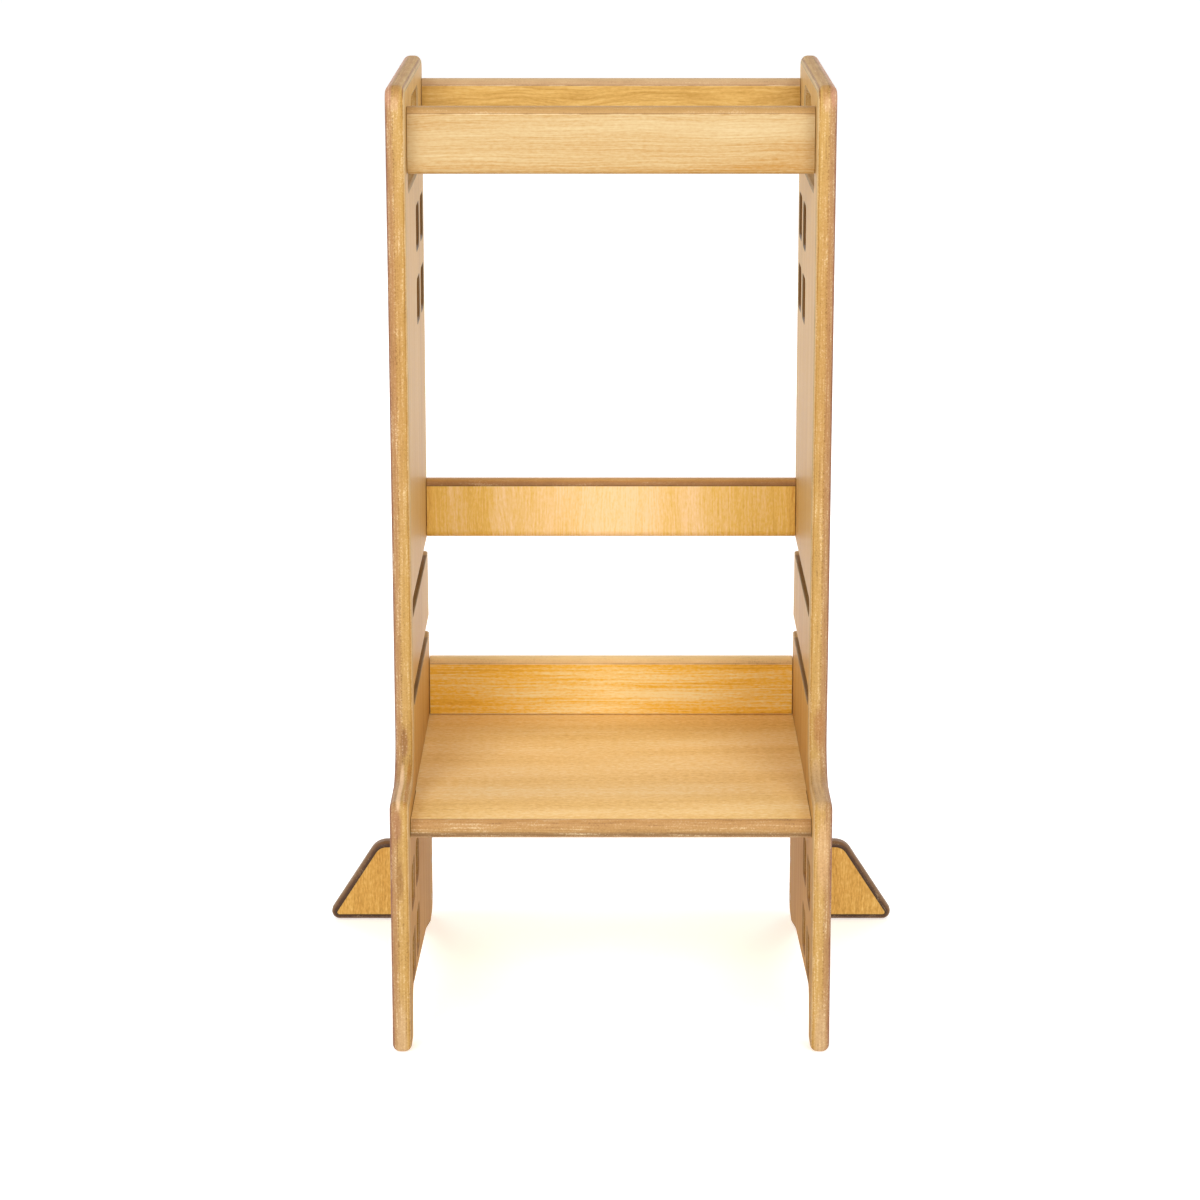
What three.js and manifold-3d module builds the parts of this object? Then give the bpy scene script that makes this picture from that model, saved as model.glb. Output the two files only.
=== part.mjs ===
// A children's helper tower of lacquered plywood boards.
// Two tall side panels carry two top rails and a middle rail. A step platform with an upright
// riser board slides in grooves, and two triangular plates widen the foot at the back.
// Millimetres: X runs left to right seen from the front, Y from front to back, Z up from the floor.
// While it is built, Y is counted from the frontmost edge and Z from the floor.

import * as THREE from 'three';
import { mergeVertices } from 'three/addons/utils/BufferGeometryUtils.js';
import Module from 'manifold-3d';

const wasm = await Module();
wasm.setup();

// Overall sizes
const overallHeight = 900;
const widthOverPanels = 411;
const baseDepth = 413;
const board = 18;

// Clearances between pieces
const fitGap = 0.3;
const slideClearance = 0.5;
const cutOverrun = 1;

// Rounded edges of the boards
const edgeRound = 7;
const stabiliserEdgeRound = 6;
const leastFlat = 1;

// Outline of a side panel, seen from the side
const topSetback = 76;
const waistSetback = 100.5;
const backSetback = 21;
const flareStartHeight = 205;
const flareEndHeight = 420;
const ledgeAboveStep = 24;
const frontFootLength = 34;
const archFrontSetback = 44;
const archFrontHeight = 46.5;
const archKneeHeight = 22;
const archKneeRun = 85;
const rearFootLength = 47;
const topCorner = 13;
const waistFillet = 35;
const ledgeCorner = 10;
const footCorner = 8;
const archFillet = 10;
const rearFootCorner = 22;
const gentleBendRadius = 180;

// Grooves that hold the step, lowest first; each height is that of the groove's lower wall
const grooveHeights = [203.7, 307.3, 394];
const grooveDepth = 6;
const grooveSetback = 110.5;

// Step platform and its riser board
const stepFrontSetback = 22;
const stepBackInset = 9;
const stepLength = baseDepth - stepBackInset - stepFrontSetback;
const riserHeight = 60;

// Rails between the side panels
const topRailHeight = 62;
const topRailDrop = 22;
const frontRailSetback = 104;
const middleRailHeight = 60;
const middleRailGap = 1.5;

// Hand hole behind the front rail
const handHoleHeight = 77;
const handHoleDrop = 24;
const handHoleBackInset = 89;
const handHoleRailMargin = 8;
const handHoleSlope = THREE.MathUtils.degToRad(44);
const handHoleRound = 4;
const handHoleCorner = 14;
const handHoleToe = 8;
const handHoleHeel = 20;

// Window groups, two columns by two rows in each group
const windowWidth = 48;
const windowHeight = 42;
const windowPitchY = 72;
const windowPitchZ = 71;
const windowCorner = 8;
const windowRound = 2;
const upperWindowsBackInset = 82;
const upperWindowsDrop = 190.5;
const lowerWindowsSetback = 99;
const lowerWindowsHeight = 112.5;

// Stabiliser plates
const stabiliserHeight = 85;
const stabiliserTopReach = 38.5;
const stabiliserSlant = THREE.MathUtils.degToRad(57.2);
const stabiliserBackInset = 11;
const stabiliserShoulder = 19;
const stabiliserToe = 8;

// Furniture screws with a countersunk head and a hexagon socket
const screwHeadRadius = 5;
const screwHeadRim = 1.2;
const screwHeadCone = 3;
const screwRadius = 3.5;
const screwLength = 50;
const screwTip = 2;
const socketRadius = 2.3;
const socketDepth = 2.6;
const railScrewSpacing = 34;
const stabiliserScrewSpacing = 40;
const riserScrewSpacing = 140;

// Wooden dowels
const dowelRadius = 4;
const dowelLength = 30;
const dowelSkin = 8;
const dowelChamfer = 1;
const riserDowelSpacing = 140;

// Fineness of the round stretches
const arcStep = THREE.MathUtils.degToRad(22.5);
const smallArcStep = THREE.MathUtils.degToRad(45);
const edgeSegments = 2;
const roundSegments = 12;

// Places worked out from the sizes above
const outerFace = widthOverPanels / 2;
const innerFace = outerFace - board;
const innerWidth = 2 * innerFace;
const backEdge = baseDepth - backSetback;
const stepUnderside = grooveHeights[0] + fitGap;
const stepTop = stepUnderside + board;
const stepBack = stepFrontSetback + stepLength;
const ledgeHeight = stepTop + ledgeAboveStep;
const grooveHeight = board + 2 * fitGap;
const tongueFront = grooveSetback + grooveHeight / 2 + fitGap;
const topRailBottom = overallHeight - topRailDrop - topRailHeight;
const rearRailFront = backEdge - edgeRound - board;
const middleRailBottom = Math.max(...grooveHeights) + grooveHeight + middleRailGap;
const dowelInBoard = board - dowelSkin;
const roundOf = (radius) => Math.min(radius, (board - leastFlat) / 2);

const unitX = new THREE.Vector3(1, 0, 0);
const unitY = new THREE.Vector3(0, 1, 0);
const unitZ = new THREE.Vector3(0, 0, 1);

const veneer = (colour) => new THREE.MeshStandardMaterial({ color: colour, roughness: 0.42, metalness: 0 });
const panelWood = () => veneer(0xd8a86c);
const railWood = () => veneer(0xecc98c);
const stepWood = () => veneer(0xe7b974);
const dowelWood = () => veneer(0xc79b68);
const zincSteel = () => new THREE.MeshStandardMaterial({ color: 0xb9bcc0, roughness: 0.35, metalness: 1 });

// Points of a closed outline whose corners [u, v, radius] are rounded by tangent arcs
function roundedOutline(corners, angleStep = arcStep) {
  const points = [];
  corners.forEach(([u, v, radius], index) => {
    const corner = new THREE.Vector2(u, v);
    const before = corners[(index + corners.length - 1) % corners.length];
    const after = corners[(index + 1) % corners.length];
    const toBefore = new THREE.Vector2(before[0], before[1]).sub(corner).normalize();
    const toAfter = new THREE.Vector2(after[0], after[1]).sub(corner).normalize();
    const half = Math.acos(THREE.MathUtils.clamp(toBefore.dot(toAfter), -1, 1)) / 2;
    const middle = toBefore.clone().add(toAfter).normalize();
    const centre = corner.clone().addScaledVector(middle, radius / Math.sin(half));
    const start = corner.clone().addScaledVector(toBefore, radius / Math.tan(half)).sub(centre);
    const turn = Math.sign(toAfter.cross(toBefore)) * (Math.PI - 2 * half);
    const steps = Math.max(1, Math.ceil(Math.abs(turn) / angleStep - 1e-6));
    for (let step = 0; step <= steps; step += 1) {
      const spoke = start.clone().rotateAround(new THREE.Vector2(), (turn * step) / steps);
      points.push(spoke.add(centre));
    }
  });
  return points;
}

// Solid of a closed geometry
function toSolid(geometry) {
  const bare = geometry.clone();
  bare.deleteAttribute('normal');
  bare.deleteAttribute('uv');
  const merged = mergeVertices(bare, 1e-4);
  const triangles = [];
  for (let i = 0; i < merged.index.count; i += 3) {
    const [a, b, c] = [0, 1, 2].map((k) => merged.index.getX(i + k));
    if (a !== b && b !== c && c !== a) triangles.push(a, b, c);
  }
  return new wasm.Manifold(new wasm.Mesh({
    numProp: 3,
    vertProperties: new Float32Array(merged.attributes.position.array),
    triVerts: new Uint32Array(triangles),
  }));
}

// Geometry of a solid, about an anchor point
function toGeometry(solid, anchor) {
  const mesh = solid.getMesh();
  const geometry = new THREE.BufferGeometry();
  geometry.setAttribute('position', new THREE.BufferAttribute(new Float32Array(mesh.vertProperties), 3));
  geometry.setIndex(new THREE.BufferAttribute(new Uint32Array(mesh.triVerts), 1));
  geometry.translate(-anchor.x, -anchor.y, -anchor.z);
  geometry.computeVertexNormals();
  return geometry;
}

const cut = (solid, cutters) => cutters.reduce((rest, cutter) => rest.subtract(cutter), solid);

// Slab drawn in the side view (Y, Z) and centred on a place along X
function sideSlab(outline, centreX, options) {
  const geometry = new THREE.ExtrudeGeometry(new THREE.Shape(outline), options);
  geometry.translate(0, 0, -options.depth / 2);
  geometry.applyMatrix4(new THREE.Matrix4().makeBasis(unitY, unitZ, unitX));
  geometry.translate(centreX, 0, 0);
  return toSolid(geometry);
}

// Slab drawn in the front view (X, Z) and centred on a place along Y
function frontSlab(outline, centreY, options) {
  const geometry = new THREE.ExtrudeGeometry(new THREE.Shape(outline), options);
  geometry.translate(0, 0, -options.depth / 2);
  geometry.applyMatrix4(new THREE.Matrix4().makeBasis(unitX, unitZ, unitY.clone().negate()));
  geometry.translate(0, centreY, 0);
  return toSolid(geometry);
}

const plain = (depth) => ({ depth, bevelEnabled: false });

// Extrusion of a whole board whose edges are rounded all the way round
function roundedBoard(radius) {
  const round = roundOf(radius);
  return {
    depth: board - 2 * round,
    bevelEnabled: true,
    bevelThickness: round,
    bevelSize: round,
    bevelOffset: -round,
    bevelSegments: edgeSegments,
  };
}

// Extrusion of a cutter that leaves a hole with rounded mouths in a board
function roundedMouths(radius, segments) {
  const round = roundOf(radius);
  return {
    depth: board - 2 * round,
    bevelEnabled: true,
    bevelThickness: round + fitGap / 10,
    bevelSize: -round,
    bevelOffset: round,
    bevelSegments: segments,
  };
}

function box(low, high) {
  const size = high.map((value, axis) => value - low[axis]);
  const geometry = new THREE.BoxGeometry(...size);
  geometry.translate(...low.map((value, axis) => value + size[axis] / 2));
  return toSolid(geometry);
}

const turnAlong = (direction) => new THREE.Quaternion().setFromUnitVectors(unitY, direction);

// Round solid whose profile [radius, distance] is counted from a point along a direction
function turned(profile, point, direction) {
  const ends = profile.map(([radius, distance]) => new THREE.Vector2(radius, distance));
  const geometry = new THREE.LatheGeometry(ends, roundSegments);
  geometry.applyQuaternion(turnAlong(direction));
  geometry.translate(...point.toArray());
  return toSolid(geometry);
}

// Screw whose head lies at a point, and the hole that it needs
function screw(point, direction) {
  const neck = screwHeadRim + screwHeadCone;
  const shaft = turned([
    [0, 0],
    [screwHeadRadius, 0],
    [screwHeadRadius, screwHeadRim],
    [screwRadius, neck],
    [screwRadius, screwLength - screwTip],
    [screwRadius - screwTip / 2, screwLength],
    [0, screwLength],
  ], point, direction);
  const socket = new THREE.CylinderGeometry(socketRadius, socketRadius, 2 * socketDepth, 6);
  socket.applyQuaternion(turnAlong(direction));
  socket.translate(...point.toArray());
  return shaft.subtract(toSolid(socket));
}

function screwHole(point, direction) {
  const neck = screwHeadRim + screwHeadCone;
  return turned([
    [0, -cutOverrun],
    [screwHeadRadius + fitGap, -cutOverrun],
    [screwHeadRadius + fitGap, screwHeadRim + fitGap],
    [screwRadius + fitGap, neck + fitGap],
    [screwRadius + fitGap, screwLength + fitGap],
    [0, screwLength + fitGap],
  ], point, direction);
}

// Dowel that starts at a point, and the hole that it needs
function dowel(point, direction) {
  return turned([
    [0, 0],
    [dowelRadius - dowelChamfer, 0],
    [dowelRadius, dowelChamfer],
    [dowelRadius, dowelLength - dowelChamfer],
    [dowelRadius - dowelChamfer, dowelLength],
    [0, dowelLength],
  ], point, direction);
}

function dowelHole(point, direction) {
  return turned([
    [0, -fitGap],
    [dowelRadius + fitGap, -fitGap],
    [dowelRadius + fitGap, dowelLength + fitGap],
    [0, dowelLength + fitGap],
  ], point, direction);
}

// A joint is where screws and dowels hold two boards; side is -1 on the left and 1 on the right
const along = (direction, sign) => direction.clone().multiplyScalar(sign);
const spread = (count, spacing) => [...Array(count).keys()].map((i) => (i - (count - 1) / 2) * spacing);

function railJoint(side, centreY, centreZ) {
  const inward = along(unitX, -side);
  const headX = side * (outerFace - fitGap);
  const dowelX = side * (innerFace + dowelInBoard);
  return {
    direction: inward,
    screws: spread(2, railScrewSpacing).map((z) => new THREE.Vector3(headX, centreY, centreZ + z)),
    dowels: [new THREE.Vector3(dowelX, centreY, centreZ)],
  };
}

function stabiliserJoint(side) {
  const outward = along(unitX, side);
  const centreY = baseDepth - stabiliserBackInset - board / 2;
  const centreZ = stabiliserHeight / 2;
  const headX = side * (innerFace + fitGap);
  const dowelX = side * (outerFace - dowelInBoard);
  return {
    direction: outward,
    screws: spread(2, stabiliserScrewSpacing).map((z) => new THREE.Vector3(headX, centreY, centreZ + z)),
    dowels: [new THREE.Vector3(dowelX, centreY, centreZ)],
  };
}

function riserJoint() {
  const centreY = stepBack - board / 2;
  const dowelZ = stepTop - dowelInBoard;
  return {
    direction: unitZ,
    screws: spread(3, riserScrewSpacing).map((x) => new THREE.Vector3(x, centreY, stepUnderside + fitGap)),
    dowels: spread(2, riserDowelSpacing).map((x) => new THREE.Vector3(x, centreY, dowelZ)),
  };
}

const holesOf = (joint) => [
  ...joint.screws.map((point) => screwHole(point, joint.direction)),
  ...joint.dowels.map((point) => dowelHole(point, joint.direction)),
];

const rails = {
  front_top_rail: { front: frontRailSetback, bottom: topRailBottom, height: topRailHeight },
  rear_top_rail: { front: rearRailFront, bottom: topRailBottom, height: topRailHeight },
  middle_rail: { front: rearRailFront, bottom: middleRailBottom, height: middleRailHeight },
};

const railJointOf = (rail, side) => railJoint(side, rail.front + board / 2, rail.bottom + rail.height / 2);

// Side panel
function panelOutline() {
  const kneeY = baseDepth - rearFootLength - archKneeRun;
  return roundedOutline([
    [0, 0, footCorner],
    [frontFootLength, 0, footCorner],
    [archFrontSetback, archFrontHeight, archFillet],
    [kneeY, archKneeHeight, gentleBendRadius],
    [baseDepth - rearFootLength, 0, footCorner],
    [baseDepth, 0, rearFootCorner],
    [baseDepth, flareStartHeight, gentleBendRadius],
    [backEdge, flareEndHeight, gentleBendRadius],
    [backEdge, overallHeight, topCorner],
    [topSetback, overallHeight, topCorner],
    [waistSetback, ledgeHeight, waistFillet],
    [0, ledgeHeight, ledgeCorner],
  ]);
}

function grooveCutter(side, bottom) {
  const radius = grooveHeight / 2;
  const outline = [[baseDepth + cutOverrun, bottom], [baseDepth + cutOverrun, bottom + grooveHeight]]
    .map(([y, z]) => new THREE.Vector2(y, z));
  const steps = Math.ceil(Math.PI / arcStep - 1e-6);
  for (let step = 0; step <= steps; step += 1) {
    const angle = Math.PI / 2 + (Math.PI * step) / steps;
    outline.push(new THREE.Vector2(
      grooveSetback + radius + radius * Math.cos(angle),
      bottom + radius + radius * Math.sin(angle),
    ));
  }
  const centreX = side * (innerFace + (grooveDepth - cutOverrun) / 2);
  return sideSlab(outline, centreX, plain(grooveDepth + cutOverrun));
}

function handHoleCutter(side) {
  const top = overallHeight - handHoleDrop;
  const bottom = top - handHoleHeight;
  const slopeAt = (z) => frontRailSetback + board + handHoleRailMargin
    + (z - topRailBottom) / Math.tan(handHoleSlope);
  const back = backEdge - handHoleBackInset;
  const outline = roundedOutline([
    [slopeAt(bottom), bottom, handHoleToe],
    [back, bottom, handHoleCorner],
    [back, top, handHoleCorner],
    [slopeAt(top), top, handHoleHeel],
  ]);
  return sideSlab(outline, side * (innerFace + board / 2), roundedMouths(handHoleRound, edgeSegments));
}

function windowCutters(side, centreY, centreZ) {
  const cutters = [];
  for (const y of spread(2, windowPitchY)) {
    for (const z of spread(2, windowPitchZ)) {
      const left = centreY + y - windowWidth / 2;
      const low = centreZ + z - windowHeight / 2;
      const outline = roundedOutline([
        [left, low, windowCorner],
        [left + windowWidth, low, windowCorner],
        [left + windowWidth, low + windowHeight, windowCorner],
        [left, low + windowHeight, windowCorner],
      ], smallArcStep);
      cutters.push(sideSlab(outline, side * (innerFace + board / 2), roundedMouths(windowRound, 1)));
    }
  }
  return cutters;
}

function sidePanel(side) {
  const blank = sideSlab(panelOutline(), side * (innerFace + board / 2), roundedBoard(edgeRound));
  return cut(blank, [
    ...grooveHeights.map((bottom) => grooveCutter(side, bottom)),
    handHoleCutter(side),
    ...windowCutters(side, backEdge - upperWindowsBackInset, overallHeight - upperWindowsDrop),
    ...windowCutters(side, lowerWindowsSetback, lowerWindowsHeight),
    ...Object.values(rails).flatMap((rail) => holesOf(railJointOf(rail, side))),
    ...holesOf(stabiliserJoint(side)),
  ]);
}

// Rail with all four long edges rounded
function railBoard(rail) {
  const round = roundOf(edgeRound);
  const back = rail.front + board;
  const top = rail.bottom + rail.height;
  const outline = roundedOutline([
    [rail.front, rail.bottom, round],
    [back, rail.bottom, round],
    [back, top, round],
    [rail.front, top, round],
  ]);
  const blank = sideSlab(outline, 0, plain(innerWidth - 2 * fitGap));
  return cut(blank, [-1, 1].flatMap((side) => holesOf(railJointOf(rail, side))));
}

// Step platform: its sides carry tongues behind the grooves' front ends
function platformBoard() {
  const round = roundOf(edgeRound);
  const outline = roundedOutline([
    [stepFrontSetback, stepUnderside, round],
    [stepBack, stepUnderside, leastFlat],
    [stepBack, stepTop, leastFlat],
    [stepFrontSetback, stepTop, round],
  ]);
  const halfWidth = innerFace + grooveDepth - slideClearance;
  const blank = sideSlab(outline, 0, plain(2 * halfWidth));
  const shoulders = [-1, 1].map((side) => {
    const edges = [side * (innerFace - slideClearance), side * (halfWidth + cutOverrun)];
    return box(
      [Math.min(...edges), stepFrontSetback - cutOverrun, stepUnderside - cutOverrun],
      [Math.max(...edges), tongueFront, stepTop + cutOverrun],
    );
  });
  return cut(blank, [...shoulders, ...holesOf(riserJoint())]);
}

function riserBoard() {
  const round = roundOf(edgeRound);
  const foot = stepTop + fitGap;
  const outline = roundedOutline([
    [stepBack - board, foot, leastFlat],
    [stepBack, foot, leastFlat],
    [stepBack, foot + riserHeight, round],
    [stepBack - board, foot + riserHeight, round],
  ]);
  const blank = sideSlab(outline, 0, plain(innerWidth - 2 * slideClearance));
  return cut(blank, holesOf(riserJoint()));
}

// Stabiliser plate, cut off square where it meets the outer face of its side panel
function stabiliserBoard(side) {
  const root = outerFace - board;
  const shoulder = outerFace + stabiliserTopReach;
  const toe = shoulder + stabiliserHeight / Math.tan(stabiliserSlant);
  const corners = [
    [root, 0, stabiliserToe],
    [toe, 0, stabiliserToe],
    [shoulder, stabiliserHeight, stabiliserShoulder],
    [root, stabiliserHeight, stabiliserToe],
  ];
  const outline = roundedOutline(corners.map(([x, z, radius]) => [side * x, z, radius]));
  const centreY = baseDepth - stabiliserBackInset - board / 2;
  const blank = frontSlab(outline, centreY, roundedBoard(stabiliserEdgeRound));
  const cutX = [side * (root - board), side * (outerFace + fitGap)];
  const trim = box(
    [Math.min(...cutX), centreY - board, -cutOverrun],
    [Math.max(...cutX), centreY + board, stabiliserHeight + cutOverrun],
  );
  return cut(blank, [trim, ...holesOf(stabiliserJoint(side))]);
}

// Assembly
const tower = new THREE.Group();
tower.position.y = -baseDepth / 2;

function addPiece(group, name, solid, anchor, material) {
  const mesh = new THREE.Mesh(toGeometry(solid, anchor), material);
  mesh.name = name;
  mesh.position.copy(anchor);
  group.add(mesh);
}

function addFasteners(group, name, joint) {
  joint.screws.forEach((point, i) => {
    addPiece(group, `${name}_screw_${i + 1}`, screw(point, joint.direction), point, zincSteel());
  });
  joint.dowels.forEach((point, i) => {
    addPiece(group, `${name}_dowel_${i + 1}`, dowel(point, joint.direction), point, dowelWood());
  });
}

const sides = { left: -1, right: 1 };

const frame = new THREE.Group();
tower.add(frame);
for (const [word, side] of Object.entries(sides)) {
  const foot = new THREE.Vector3(side * (innerFace + board / 2), 0, 0);
  const wing = new THREE.Vector3(side * outerFace, baseDepth - stabiliserBackInset, 0);
  addPiece(frame, `side_panel_${word}`, sidePanel(side), foot, panelWood());
  addPiece(frame, `stabiliser_${word}`, stabiliserBoard(side), wing, panelWood());
  addFasteners(frame, `stabiliser_${word}`, stabiliserJoint(side));
}
for (const [name, rail] of Object.entries(rails)) {
  addPiece(frame, name, railBoard(rail), new THREE.Vector3(0, rail.front, rail.bottom), railWood());
  for (const [word, side] of Object.entries(sides)) {
    addFasteners(frame, `${name}_${word}`, railJointOf(rail, side));
  }
}

const step = new THREE.Group();
tower.add(step);
addPiece(step, 'platform', platformBoard(), new THREE.Vector3(0, stepFrontSetback, stepUnderside), stepWood());
addPiece(step, 'platform_riser', riserBoard(), new THREE.Vector3(0, stepBack - board, stepTop), stepWood());
addFasteners(step, 'riser', riserJoint());

export default tower;
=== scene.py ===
"""A children's helper tower of lacquered plywood boards, in a plain white studio.

Two tall side panels carry two top rails and a middle rail. A step platform with an upright riser board
slides in grooves in the panels, and two plates widen the foot at the back. Sizes are in millimetres, as
in the CAD source: X to the right seen from the front, Y from the frontmost edge to the back and Z up
from the floor. Meshes are turned to metres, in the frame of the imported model, when they are made.
"""

import math
from typing import NamedTuple

import bmesh
import bpy
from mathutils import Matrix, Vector


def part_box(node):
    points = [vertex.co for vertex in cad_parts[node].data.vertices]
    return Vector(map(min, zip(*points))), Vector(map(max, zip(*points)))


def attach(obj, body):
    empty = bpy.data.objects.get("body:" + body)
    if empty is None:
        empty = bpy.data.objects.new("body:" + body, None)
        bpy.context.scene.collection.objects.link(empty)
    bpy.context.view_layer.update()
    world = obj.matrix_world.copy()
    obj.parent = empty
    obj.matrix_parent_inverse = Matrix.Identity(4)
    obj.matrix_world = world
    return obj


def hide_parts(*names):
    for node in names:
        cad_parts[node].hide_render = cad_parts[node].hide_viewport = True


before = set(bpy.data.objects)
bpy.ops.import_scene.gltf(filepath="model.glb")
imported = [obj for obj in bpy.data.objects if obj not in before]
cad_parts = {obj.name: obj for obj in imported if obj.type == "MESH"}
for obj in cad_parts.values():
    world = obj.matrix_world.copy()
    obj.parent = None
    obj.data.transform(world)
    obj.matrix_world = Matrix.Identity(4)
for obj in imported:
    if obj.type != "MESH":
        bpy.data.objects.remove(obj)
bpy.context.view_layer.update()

MM = 0.001
PHOTO_SIZE = 1200

# Clearances and edge radii of the boards
FIT_GAP = 0.3
EDGE_ROUND = 7
STABILISER_EDGE_ROUND = 6
LEAST_FLAT = 1
EASED_EDGE = 0.5
CUT_OVERRUN = 1

# Outline of a side panel, seen from the side
TOP_SETBACK = 76
WAIST_SETBACK = 100.5
BACK_SETBACK = 21
FLARE_START_HEIGHT = 205
FLARE_END_HEIGHT = 420
LEDGE_ABOVE_STEP = 24
FRONT_FOOT_LENGTH = 34
ARCH_FRONT_SETBACK = 44
ARCH_FRONT_HEIGHT = 46.5
ARCH_KNEE_HEIGHT = 22
ARCH_KNEE_RUN = 85
REAR_FOOT_LENGTH = 47
TOP_CORNER = 13
WAIST_FILLET = 35
LEDGE_CORNER = 10
FOOT_CORNER = 8
ARCH_FILLET = 10
REAR_FOOT_CORNER = 22
GENTLE_BEND_RADIUS = 180

# Grooves that hold the step; each height is that of the groove's lower wall
GROOVE_HEIGHTS = (203.7, 307.3, 394)
GROOVE_DEPTH = 6
GROOVE_SETBACK = 110.5

# Step tongues, behind the grooves' front ends
SLIDE_CLEARANCE = 0.5

# Hand hole behind the front rail
HAND_HOLE_HEIGHT = 77
HAND_HOLE_DROP = 24
HAND_HOLE_BACK_INSET = 89
HAND_HOLE_RAIL_MARGIN = 8
HAND_HOLE_SLOPE = math.radians(44)
HAND_HOLE_ROUND = 4
HAND_HOLE_CORNER = 14
HAND_HOLE_TOE = 8
HAND_HOLE_HEEL = 20

# Window groups, two columns by two rows in each group
WINDOW_WIDTH = 48
WINDOW_HEIGHT = 42
WINDOW_PITCH_Y = 72
WINDOW_PITCH_Z = 71
WINDOW_CORNER = 8
WINDOW_ROUND = 2
UPPER_WINDOWS_BACK_INSET = 82
UPPER_WINDOWS_DROP = 190.5
LOWER_WINDOWS_SETBACK = 99
LOWER_WINDOWS_HEIGHT = 112.5

# Stabiliser plates
STABILISER_TOP_REACH = 38.5
STABILISER_SLANT = math.radians(57.2)
STABILISER_SHOULDER = 19
STABILISER_TOE = 8

# Furniture screws and dowels
SCREW_HEAD_RADIUS = 5
SCREW_HEAD_RIM = 1.2
SCREW_HEAD_CONE = 3
SCREW_NECK = SCREW_HEAD_RIM + SCREW_HEAD_CONE
SCREW_HEAD_EASE = 0.35
SCREW_RADIUS = 3.5
SCREW_LENGTH = 50
SCREW_TIP = 2
THREAD_START = 16
THREAD_PITCH = 2
THREAD_DEPTH = 0.6
SOCKET_RADIUS = 2.3
SOCKET_DEPTH = 2.6
SOCKET_MOUTH = 0.35
RAIL_SCREW_SPACING = 34
STABILISER_SCREW_SPACING = 40
RISER_SCREW_SPACING = 140
DOWEL_RADIUS = 4
DOWEL_LENGTH = 30
DOWEL_SKIN = 8
RISER_DOWEL_SPACING = 140

# Fineness of the round stretches
ARC_STEP = math.radians(6)
EDGE_SEGMENTS = 8
MOUTH_SEGMENTS = 5
ROUND_SEGMENTS = 48
SHARP_EDGE = math.radians(38)

# Places read from the frame, in millimetres from the frontmost edge and the floor
BASE_DEPTH = (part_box("side_panel_left")[1].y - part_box("side_panel_left")[0].y) / MM


def box_of(node):
    """Lowest and highest corner of a CAD node, in millimetres from the frontmost edge."""
    forward = Vector((0, BASE_DEPTH / 2, 0))
    return tuple(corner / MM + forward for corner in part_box(node))


PANEL_LOW, PANEL_HIGH = box_of("side_panel_right")
PLATFORM_LOW, PLATFORM_HIGH = box_of("platform")
INNER_FACE = PANEL_LOW.x
OUTER_FACE = PANEL_HIGH.x
BOARD = OUTER_FACE - INNER_FACE
OVERALL_HEIGHT = PANEL_HIGH.z
BACK_EDGE = BASE_DEPTH - BACK_SETBACK
LEDGE_HEIGHT = PLATFORM_HIGH.z + LEDGE_ABOVE_STEP
GROOVE_HEIGHT = BOARD + 2 * FIT_GAP
TONGUE_FRONT = GROOVE_SETBACK + GROOVE_HEIGHT / 2 + FIT_GAP
DOWEL_IN_BOARD = BOARD - DOWEL_SKIN
SIDES = {"left": -1, "right": 1}
RAILS = ("front_top_rail", "rear_top_rail", "middle_rail")

AXIS_X = Vector((1, 0, 0))
AXIS_Z = Vector((0, 0, 1))


# Outlines


def rounded_outline(corners, arc_step=ARC_STEP):
    """Points of a closed outline whose corners (u, v, radius) are rounded by tangent arcs."""
    points = []
    for index, (u, v, radius) in enumerate(corners):
        corner = Vector((u, v))
        to_before = (Vector(corners[index - 1][:2]) - corner).normalized()
        to_after = (Vector(corners[(index + 1) % len(corners)][:2]) - corner).normalized()
        half = to_before.angle(to_after) / 2
        middle = (to_before + to_after).normalized()
        centre = corner + middle * (radius / math.sin(half))
        start = corner + to_before * (radius / math.tan(half)) - centre
        turning = to_after.x * to_before.y - to_after.y * to_before.x
        turn = math.copysign(math.pi - 2 * half, turning)
        steps = max(2, math.ceil(abs(turn) / arc_step))
        for step in range(steps + 1):
            angle = turn * step / steps
            spoke = Vector((
                start.x * math.cos(angle) - start.y * math.sin(angle),
                start.x * math.sin(angle) + start.y * math.cos(angle),
            ))
            points.append(centre + spoke)
    return points


def area_of(points):
    """Area inside an outline, below nought where it runs clockwise."""
    pairs = zip(points, points[1:] + points[:1])
    return sum(a.x * b.y - b.x * a.y for a, b in pairs) / 2


def offset_outline(points, distance):
    """The outline moved outwards by a distance, with mitred corners."""
    if not distance:
        return points
    outward = math.copysign(distance, distance * area_of(points))
    moved = []
    for index, point in enumerate(points):
        before = (point - points[index - 1]).normalized()
        after = (points[(index + 1) % len(points)] - point).normalized()
        normal_before = Vector((before.y, -before.x))
        normal_after = Vector((after.y, -after.x))
        mitre = (normal_before + normal_after).normalized()
        moved.append(point + mitre * (outward / mitre.dot(normal_after)))
    return moved


def quarter_turns(segments):
    """Angles from nought to a right angle, in even steps."""
    return [math.pi / 2 * k / segments for k in range(segments + 1)]


def round_of(radius):
    """The edge radius that still leaves a flat stretch in the middle of a board's edge."""
    return min(radius, (BOARD - LEAST_FLAT) / 2)


def rounded_edges(low, high, radius, segments=EDGE_SEGMENTS):
    """Places across a board, as (place, offset), that round its edges on both faces."""
    run = [(radius * (1 - math.sin(a)), -radius * (1 - math.cos(a))) for a in quarter_turns(segments)]
    return [(low + depth, offset) for depth, offset in reversed(run)] + [
        (high - depth, offset) for depth, offset in run
    ]


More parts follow.
